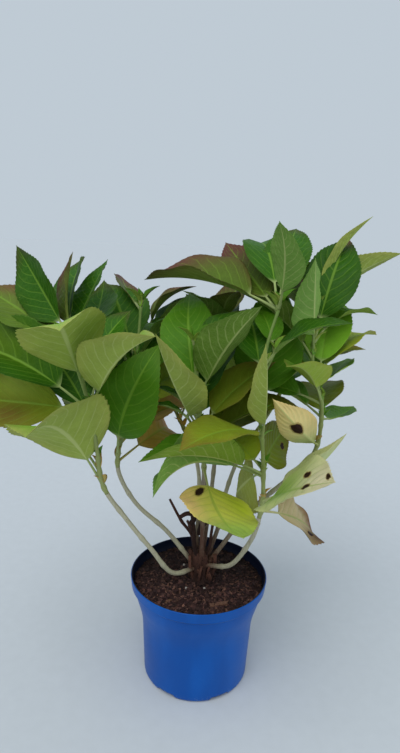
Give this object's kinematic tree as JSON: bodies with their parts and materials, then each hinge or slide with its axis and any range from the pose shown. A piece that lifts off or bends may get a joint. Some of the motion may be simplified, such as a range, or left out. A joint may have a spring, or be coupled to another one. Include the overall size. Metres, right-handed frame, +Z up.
{
  "type": "hydrangea shrub",
  "caption": "Young hydrangea shrub with bowed canes and broad opposite leaves, some yellowing, in a round flared nursery pot filled with bark peat.",
  "frame": {"origin": "middle of the pot's flat foot, on the surface that the pot stands on", "axes": "+Z up, -Y to the front that the picture shows, +X to its right"},
  "size_m": [0.5327, 0.4435, 0.6245],
  "materials": {
    "pot_plastic": "satin moulded plastic, blue outside and near black inside",
    "peat": "rough, damp bark and peat",
    "old_bark": "rough brown bark",
    "dead_wood": "rough, dry, dark",
    "cane_bark": "smooth pale green cane with small brown specks",
    "leaf": "soft semi-matte leaf, paler beneath, bronze and yellow in places"
  },
  "bodies": {
    "root": {"pot": "pot_plastic", "soil": "peat", "stool": "old_bark", "dead_stick_left": "dead_wood", "dead_stick_upright": "dead_wood", "dead_stub": "dead_wood", "cane_left_front": "cane_bark", "cane_left_back": "cane_bark", "cane_centre": "cane_bark", "cane_right_front": "cane_bark", "cane_right": "cane_bark", "cane_back_left": "cane_bark", "cane_back_centre": "cane_bark", "cane_back_right": "cane_bark", "foliage_left_front": "leaf", "foliage_left_back": "leaf", "foliage_centre": "leaf", "foliage_right_front": "leaf", "foliage_right": "leaf", "foliage_back_left": "leaf", "foliage_back_centre": "leaf", "foliage_back_right": "leaf"}
  },
  "joints": []
}
